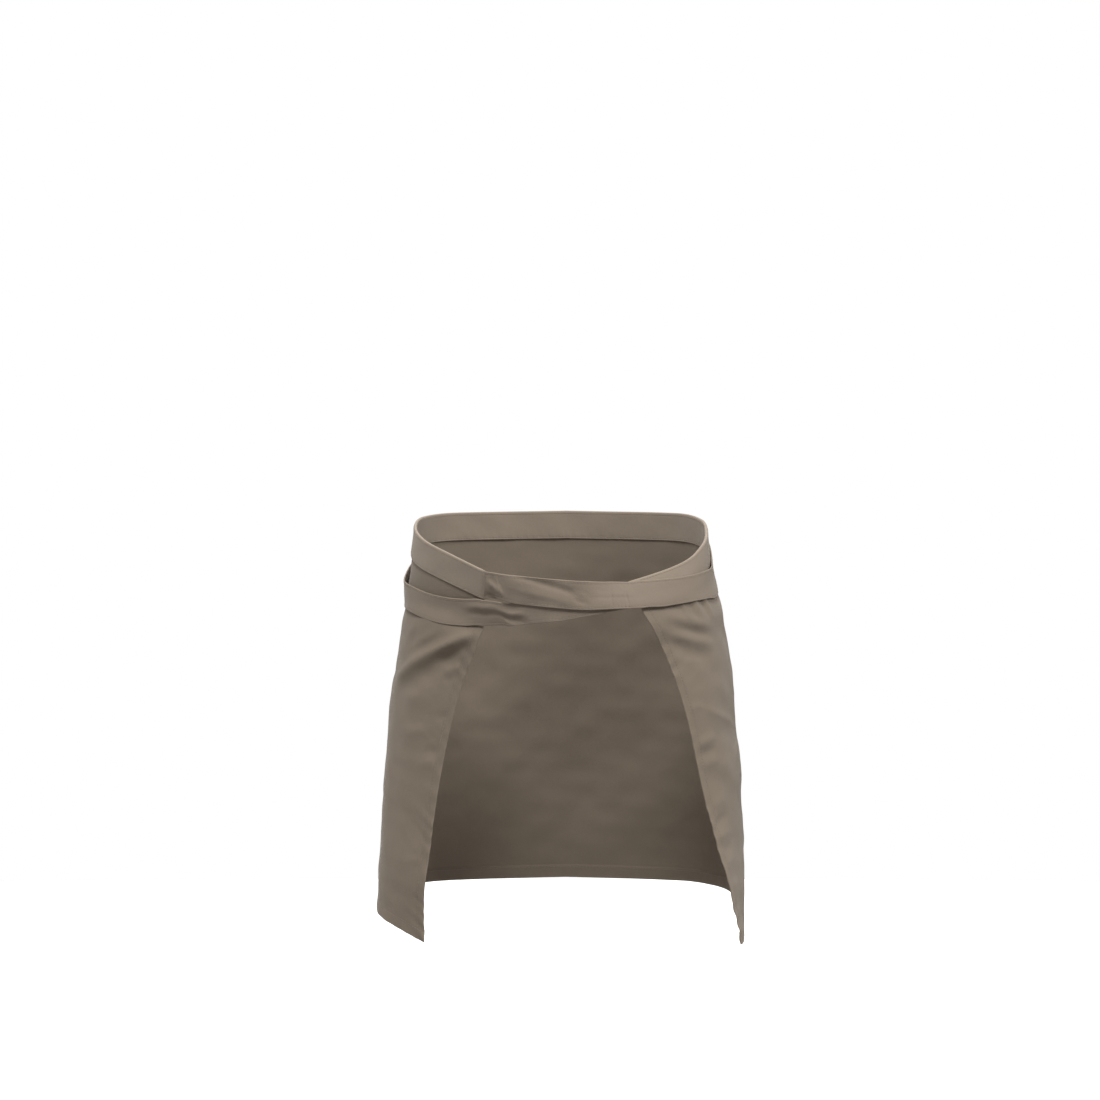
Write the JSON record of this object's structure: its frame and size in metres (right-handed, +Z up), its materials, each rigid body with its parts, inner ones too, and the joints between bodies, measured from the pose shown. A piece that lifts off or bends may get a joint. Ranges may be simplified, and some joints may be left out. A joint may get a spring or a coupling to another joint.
{
  "type": "waist apron",
  "caption": "Short waist apron in its worn form: a hemmed cloth panel on a folded waistband, with long flat ties crossed behind and knotted in front.",
  "frame": {"origin": "middle of the waist opening, level with the middle of the waistband at the front", "axes": "+Z up, -Y out of the wearer's front, +X to the wearer's left"},
  "size_m": [0.3675, 0.244, 0.4297],
  "materials": {
    "panel_cloth": "taupe fine twill, matt, lightly creased",
    "band_cloth": "taupe fine twill, folded double and topstitched",
    "tie_cloth": "taupe fine twill, folded into a strip and edge stitched",
    "knot_cloth": "taupe fine twill, gathered"
  },
  "bodies": {
    "root": {"apron_panel": "panel_cloth", "waistband": "band_cloth", "tie_left": "tie_cloth", "tie_right": "tie_cloth", "front_knot": "knot_cloth", "tail_left": "tie_cloth", "tail_right": "tie_cloth"}
  },
  "joints": []
}
